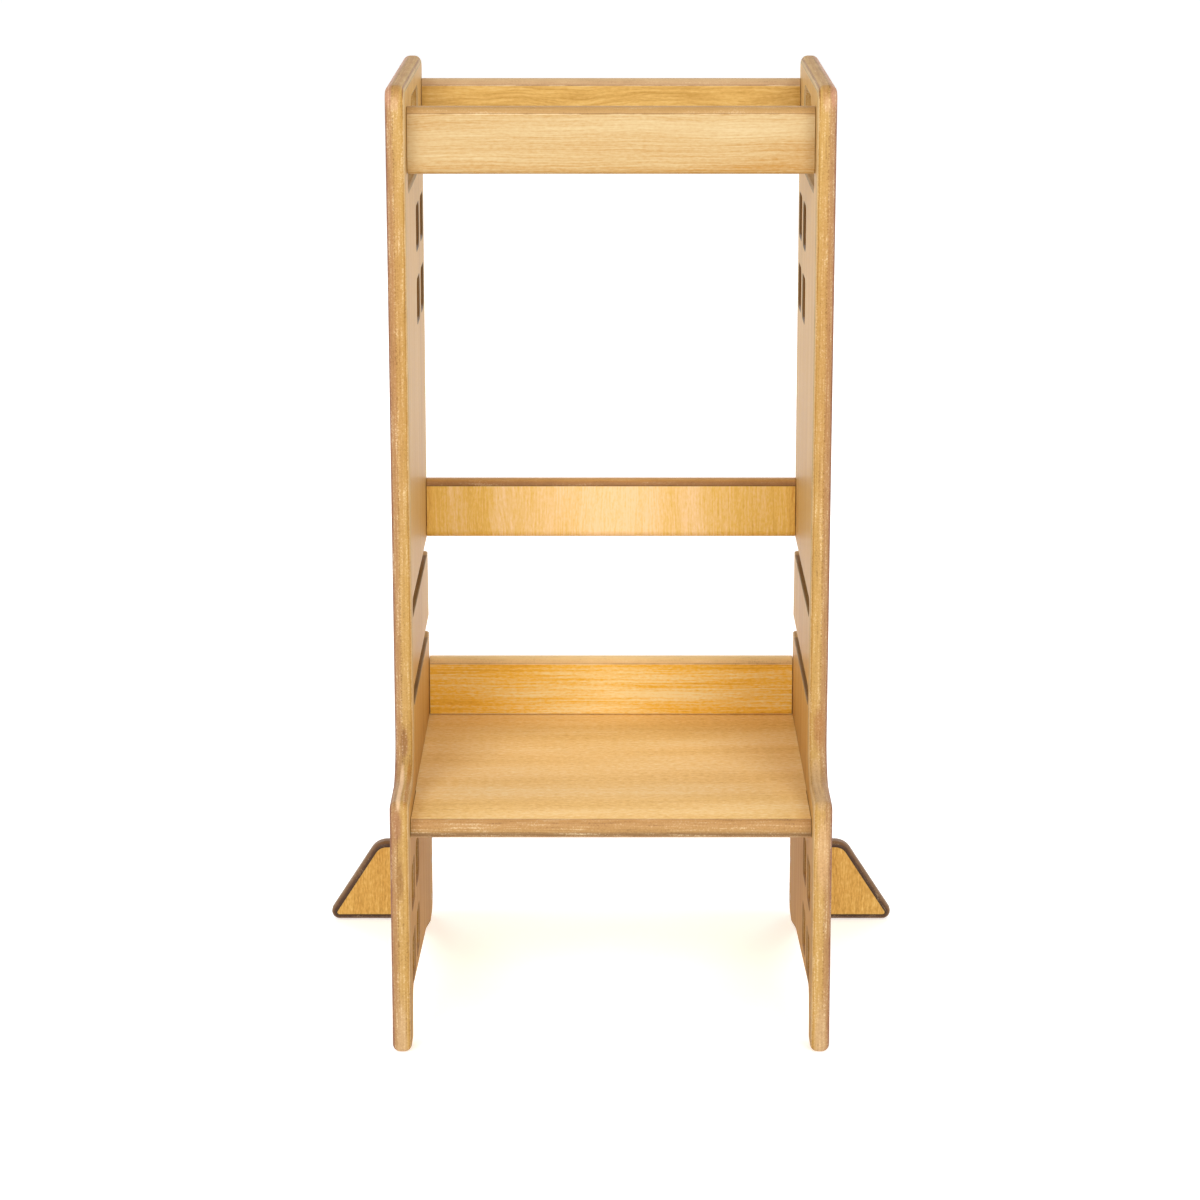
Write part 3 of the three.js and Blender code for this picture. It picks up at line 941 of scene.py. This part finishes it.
def add_platform(material):
    """Step board, rounded in front, whose tongues start behind the grooves' front ends."""
    low, high = PLATFORM_LOW, PLATFORM_HIGH
    edge = round_of(EDGE_ROUND)
    outline = rounded_outline([
        (low.y, low.z, edge),
        (high.y, low.z, LEAST_FLAT),
        (high.y, high.z, LEAST_FLAT),
        (low.y, high.z, edge),
    ])
    blank = mesh_of(slab(outline, eased_ends(low.x, high.x), side_view), "platform")
    cutters = bmesh.new()
    for side in SIDES.values():
        near, far = sorted((side * (INNER_FACE - SLIDE_CLEARANCE), side * (high.x + CUT_OVERRUN)))
        block(
            (near, low.y - CUT_OVERRUN, low.z - CUT_OVERRUN),
            (far, TONGUE_FRONT, high.z + CUT_OVERRUN),
            cutters,
        )
    cut_joint(riser_joint(), cutters)
    add_piece("platform_board", cut(blank, cutters), "step", material, "platform")


def add_riser(material):
    """Upright board on the back of the step, rounded at its top."""
    low, high = box_of("platform_riser")
    edge = round_of(EDGE_ROUND)
    outline = rounded_outline([
        (low.y, low.z, LEAST_FLAT),
        (high.y, low.z, LEAST_FLAT),
        (high.y, high.z, edge),
        (low.y, high.z, edge),
    ])
    blank = mesh_of(slab(outline, eased_ends(low.x, high.x), side_view), "riser")
    cutters = bmesh.new()
    cut_joint(riser_joint(), cutters)
    add_piece("riser_board", cut(blank, cutters), "step", material, "platform_riser")


def add_stabiliser(word, material):
    """Plate with rounded edges, cut off square where it meets the outer face of its panel."""
    side = SIDES[word]
    node = f"stabiliser_{word}"
    low, high = box_of(node)
    height = high.z
    shoulder = OUTER_FACE + STABILISER_TOP_REACH
    toe = shoulder + height / math.tan(STABILISER_SLANT)
    corners = [
        (INNER_FACE, 0, STABILISER_TOE),
        (toe, 0, STABILISER_TOE),
        (shoulder, height, STABILISER_SHOULDER),
        (INNER_FACE, height, STABILISER_TOE),
    ]
    outline = rounded_outline([(side * x, z, radius) for x, z, radius in corners])
    places = rounded_edges(low.y, high.y, round_of(STABILISER_EDGE_ROUND))
    blank = mesh_of(slab(outline, places, front_view), node)
    cutters = bmesh.new()
    near, far = sorted((side * (INNER_FACE - BOARD), side * (OUTER_FACE + FIT_GAP)))
    block(
        (near, low.y - CUT_OVERRUN, -CUT_OVERRUN),
        (far, high.y + CUT_OVERRUN, height + CUT_OVERRUN),
        cutters,
    )
    trimmed = cut(blank, cutters)
    holes = bmesh.new()
    cut_joint(stabiliser_joint(side), holes)
    add_piece(f"{node}_board", cut(trimmed, holes), "frame", material, node)


# Fasteners


def add_screw(node, point, direction, body, material):
    """Countersunk furniture screw with a hexagon socket and a ringed shank."""
    profile = [
        (SCREW_HEAD_RADIUS - SCREW_HEAD_EASE, 0),
        (SCREW_HEAD_RADIUS, SCREW_HEAD_EASE),
        (SCREW_HEAD_RADIUS, SCREW_HEAD_RIM),
        (SCREW_RADIUS, SCREW_NECK),
    ]
    turns = int((SCREW_LENGTH - SCREW_TIP - THREAD_START) / THREAD_PITCH)
    for turn in range(turns):
        start = THREAD_START + turn * THREAD_PITCH
        profile.append((SCREW_RADIUS - THREAD_DEPTH, start))
        profile.append((SCREW_RADIUS, start + THREAD_PITCH / 2))
    profile.append((SCREW_RADIUS - SCREW_TIP / 2, SCREW_LENGTH))
    blank = mesh_of(turned(profile, point, direction), node)
    wide = SOCKET_RADIUS + SOCKET_MOUTH
    socket = bmesh.new()
    hollow = [
        (wide + CUT_OVERRUN, -CUT_OVERRUN),
        (SOCKET_RADIUS, SOCKET_MOUTH),
        (SOCKET_RADIUS, SOCKET_DEPTH),
    ]
    turned(hollow, point, direction, socket, segments=6)
    add_piece(f"{node}_steel", cut(blank, socket), body, material, node)


def add_fasteners(name, joint, body, steel, dowel_wood):
    """The screws of a joint as new pieces, and the material of its dowels, which the CAD shapes."""
    for index, point in enumerate(joint["screws"], 1):
        add_screw(f"{name}_screw_{index}", point, joint["direction"], body, steel)
    for index in range(1, len(joint["dowels"]) + 1):
        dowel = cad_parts[f"{name}_dowel_{index}"]
        dowel.data.materials.clear()
        dowel.data.materials.append(dowel_wood)


# Studio: the camera and the lights in metres, the picture in pixels of the photograph

CAMERA_BACK = 3.139
CAMERA_HEIGHT = 1.219
CAMERA_PITCH = math.radians(12.97)
FOCAL_PIXELS = 3542
SENSOR_WIDTH = 36
MIDDLE_PIXEL_X = 611
MIDDLE_PIXEL_Y = 540

FLOOR_REACH = 40.0

# The floor's glow, by the distance from the tower in millimetres
GLOW_NEAR = 500
GLOW_FAR = 4500
GLOW_LEAST = 0.42
GLOW_MOST = 0.58

# The world's light, by the sine of the height above the horizon
SKY_LOW = 0.1
SKY_HIGH = 0.5
SKY_BRIGHT = 1.0
SKY_DIM = 0.42

# Softboxes: name, place in metres and power in watts. All are square and face the middle of the tower
SOFTBOX_SIZE = 2.0
SOFTBOX_TARGET = Vector((0, 0, 0.45))
SOFTBOXES = (
    ("left_front_softbox", (-1.8, -4.4, 3.2), 120),
    ("right_front_softbox", (1.8, -4.4, 3.2), 112),
    ("left_side_softbox", (-4.6, 0.4, 2.6), 55),
    ("right_side_softbox", (4.6, 0.4, 2.6), 50),
    ("left_back_softbox", (-2.0, 4.4, 3.2), 55),
    ("right_back_softbox", (2.0, 4.4, 3.2), 50),
)


def add_camera():
    """The camera in front of the tower, looking down on it a little."""
    data = bpy.data.cameras.new("camera")
    data.sensor_width = SENSOR_WIDTH
    data.lens = FOCAL_PIXELS / PHOTO_SIZE * SENSOR_WIDTH
    data.shift_x = (PHOTO_SIZE / 2 - MIDDLE_PIXEL_X) / PHOTO_SIZE
    data.shift_y = (MIDDLE_PIXEL_Y - PHOTO_SIZE / 2) / PHOTO_SIZE
    camera = bpy.data.objects.new("camera", data)
    camera.location = (0, -BASE_DEPTH / 2 * MM - CAMERA_BACK, CAMERA_HEIGHT)
    camera.rotation_euler = (math.pi / 2 - CAMERA_PITCH, 0, 0)
    bpy.context.scene.collection.objects.link(camera)
    bpy.context.scene.camera = camera


def add_floor():
    """A wide pale floor that glows away from the tower, where the lights no longer keep it white."""
    reach = FLOOR_REACH
    mesh = bpy.data.meshes.new("floor")
    mesh.from_pydata(
        [(-reach, -reach, 0), (reach, -reach, 0), (reach, reach, 0), (-reach, reach, 0)],
        [],
        [(0, 1, 2, 3)],
    )
    shade = Shade("floor_paint")
    x, y, _ = shade.position()
    away = shade.math("SQRT", shade.plus(shade.times(x, x), shade.times(y, y)))
    shade.set(
        Base_Color=linear(0xF2F2F1),
        Roughness=0.9,
        Emission_Color=linear(0xFFFFFF),
        Emission_Strength=shade.between(away, GLOW_NEAR, GLOW_FAR, GLOW_LEAST, GLOW_MOST),
    )
    mesh.materials.append(shade.material)
    floor = bpy.data.objects.new("floor", mesh)
    bpy.context.scene.collection.objects.link(floor)


def add_softbox(name, place, power):
    """Square area light that faces the middle of the tower."""
    data = bpy.data.lights.new(name, "AREA")
    data.shape = "SQUARE"
    data.size = SOFTBOX_SIZE
    data.energy = power
    light = bpy.data.objects.new(name, data)
    light.location = place
    light.rotation_euler = (SOFTBOX_TARGET - Vector(place)).to_track_quat("-Z", "Y").to_euler()
    bpy.context.scene.collection.objects.link(light)


def add_world():
    """Even white light that is brightest at the horizon, where it is seen beyond the floor."""
    world = bpy.data.worlds.new("studio")
    world.use_nodes = True
    nodes = world.node_tree.nodes
    links = world.node_tree.links
    coordinates = nodes.new("ShaderNodeTexCoord")
    direction = nodes.new("ShaderNodeSeparateXYZ")
    fall = nodes.new("ShaderNodeMapRange")
    fall.interpolation_type = "SMOOTHSTEP"
    for socket, value in zip(fall.inputs[1:5], (SKY_LOW, SKY_HIGH, SKY_BRIGHT, SKY_DIM)):
        socket.default_value = value
    background = nodes["Background"]
    background.inputs["Color"].default_value = linear(0xFFFFFF)
    links.new(coordinates.outputs["Generated"], direction.inputs[0])
    links.new(direction.outputs["Z"], fall.inputs[0])
    links.new(fall.outputs[0], background.inputs["Strength"])
    bpy.context.scene.world = world


def add_studio():
    """Camera, floor, world and softboxes, shown without any film curve."""
    add_camera()
    add_floor()
    add_world()
    for softbox in SOFTBOXES:
        add_softbox(*softbox)
    bpy.context.scene.view_settings.view_transform = "Standard"


# The tower

# Heights of a side panel from its middle
TOP = OVERALL_HEIGHT / 2
FOOT = -OVERALL_HEIGHT / 2
LEDGE = LEDGE_HEIGHT - OVERALL_HEIGHT / 2

# Stains of both panels: at the top, along the upper part of the front edge, and at the foot
BOTH_STAINS = (
    StainOrPaintedLight(TOP - 8, 22, 3, 6, 0xAC7E60, 0.95),
    StainOrPaintedLight(TOP - 8, 20, 11, 5, 0xA87C48, 0.8),
    StainOrPaintedLight(TOP - 6, 12, 16.4, 1.2, 0x7A4C20, 0.7),
    StainOrPaintedLight(TOP - 17, 12, 9, 6, 0xC09A70, 0.7),
    StainOrPaintedLight(TOP - 250, 300, 9, 12, 0x98602E, 0.24, reach=0),
    StainOrPaintedLight(FOOT + 10, 70, 9, 9, 0xB8966C, 0.8),
)

# Marks on the front edge of each panel, near the ledge, where the edge turns up to the light: the pale
# ones are painted highlight together with wear, the darker one just below the left ledge is painted
# shade, and the dark brown ones are real discolouring
LEFT_STAINS_AND_PAINTED_LIGHT = (
    StainOrPaintedLight(LEDGE + 30, 26, 9, 6, 0x8A6038, 0.9, reach=0),
    StainOrPaintedLight(LEDGE + 1, 16, 8, 3.5, 0xDAB68E, 0.9, reach=0),
    StainOrPaintedLight(LEDGE + 4, 18, 14, 3, 0xAA7434, 0.8, reach=0),
    StainOrPaintedLight(LEDGE - 22, 30, 7, 8, 0x986C4A, 0.85, reach=0),
    StainOrPaintedLight(LEDGE - 76, 36, 9, 6, 0x8E663A, 0.7, reach=0),
)
RIGHT_STAINS_AND_PAINTED_LIGHT = (
    StainOrPaintedLight(LEDGE + 44, 36, 8, 9, 0x9C6C40, 0.7, reach=0),
    StainOrPaintedLight(LEDGE + 4, 20, 11, 8, 0xBA966A, 0.8, reach=0),
    StainOrPaintedLight(LEDGE - 50, 60, 9, 10, 0xBE9668, 0.8, reach=0),
)

PANEL_LOOK = Look(
    grain="Z", face="X", dark=0xB5803C, middle=0xCC9C54, light=0xDAB36C,
    layers=(
        (0.0, 0x7C4E32),
        (1.2, 0x84563A),
        (2.2, 0x9C744C),
        (5.8, 0xA27A4C),
        (7.5, 0xAF894F),
        (15.0, 0xB38C4C),
        (16.0, 0xA67A34),
        # The pale layers from 16.6 mm, next to the inner face, are a painted highlight along the inner
        # rounding
        (16.6, 0xC4A06C),
        (18.0, 0xC8A674),
    ),
    seed=2.0, streaks=0.35, streak_width=3.0, bands=0.4, figure=0.2,
    speckle=1.6, strands=1.5, dots=7.2, stains=BOTH_STAINS + RIGHT_STAINS_AND_PAINTED_LIGHT,
    gloss=0.15, painted_foot_shade_and_dullness=0.45, painted_wall_shade=0.9,
)
LOOKS = {
    "left_panel": PANEL_LOOK._replace(face="-X", seed=1.0, stains=BOTH_STAINS + LEFT_STAINS_AND_PAINTED_LIGHT),
    "right_panel": PANEL_LOOK,
    "front_rail": Look(
        grain="X", face="-Y", dark=0xA87A36, middle=0xB89865, light=0xC4AC80,
        layers=((0, 0xAC844C), (3, 0xB38B54)),
        seed=21.0, streaks=0.5, streak_width=1.5, streak_length=90, sway=12, bands=0.4,
        rise=0.35, veneered_below=-22,
    ),
    "rear_rail": Look(
        grain="X", face="-Y", dark=0xAA7F34, middle=0xC59C52, light=0xD0B06F,
        layers=((0, 0xB08C62), (3, 0xC4A378)),
        seed=31.0, streaks=0.6, streak_width=2.4, sway=30, bands=0.4,
        veneered_below=-22, joints=INNER_FACE,
    ),
    "middle_rail": Look(
        # Its colours are painted brighter, to make up for the shade on its front face
        grain="Z", face="-Y", dark=0xC48F36, middle=0xDEB455, light=0xEBCA98,
        # The layers of its top edge are darker than the other rails': painted shade
        layers=((0, 0x8C6230), (1.2, 0xA07240), (3, 0xBA8A4A), (9, 0xC0945C)),
        seed=41.0, streaks=0.4, streak_width=1.8, bands=0.3, band_width=24,
        painted_middle_light=0.4, rim_highlight=0.0, veneered_below=-18, joints=INNER_FACE, far_face_without_painted_light=0.4,
    ),
    "platform": Look(
        grain="X", face="Z", dark=0xD39E46, middle=0xECC278, light=0xF6DAA6,
        layers=(
            (0, 0xC0925C),
            (0.8, 0xB88A54),
            (2, 0xB08450),
            (10.3, 0xA67E4A),
            # The darker layers from 12.5 to 15.2 mm are painted shade on the lower rounding of the front
            # edge, which the glowing floor lights from below
            (12.5, 0x866640),
            (14.3, 0x7E5E3A),
            (15.2, 0x96744A),
            (17, 0xB48E62),
        ),
        seed=53.0, streaks=0.24, streak_width=4, streak_length=110, sway=14, bands=0.28, band_width=38,
        flecks=0.8, fleck_width=2.4, speckle=1.5, strands=1.8, gloss=0.2,
    ),
    "riser": Look(
        # Its colours are painted brighter, to make up for the shade inside the step
        grain="X", face="-Y", dark=0xC8891C, middle=0xE6B13A, light=0xEBD296,
        layers=((0, 0xD2AC72), (2.5, 0xE2C084)),
        seed=64.0, streaks=0.6, streak_width=2.0, streak_length=120, sway=6, bands=0.4, band_width=14,
        flecks=0.6, painted_middle_light=0.28, far_face_without_painted_light=0.55,
    ),
    "stabiliser": Look(
        grain="Z", face="-Y", dark=0xA37525, middle=0xC99B47, light=0xDFBC6C,
        # Its edge layers are dark: painted shade, as the panels keep the side light off its edges
        layers=((0, 0x3E2610), (0.8, 0x4C3018), (1.8, 0x6E4C2A), (6, 0x7A5A3A)),
        seed=71.0, streaks=0.4, streak_width=1.6, bands=0.3, flecks=0.8, rim_highlight=0.0,
    ),
}
woods = {name: wood(f"{name}_wood", look) for name, look in LOOKS.items()}
steel = zinc_steel()
dowel_wood = beech()

for word, side in SIDES.items():
    add_side_panel(word, woods[f"{word}_panel"])
    add_stabiliser(word, woods["stabiliser"])
    add_fasteners(f"stabiliser_{word}", stabiliser_joint(side), "frame", steel, dowel_wood)
    for rail in RAILS:
        add_fasteners(f"{rail}_{word}", rail_joint(side, rail), "frame", steel, dowel_wood)
add_rail("front_top_rail", woods["front_rail"])
add_rail("rear_top_rail", woods["rear_rail"])
add_rail("middle_rail", woods["middle_rail"])
add_platform(woods["platform"])
add_riser(woods["riser"])
add_fasteners("riser", riser_joint(), "step", steel, dowel_wood)

add_studio()
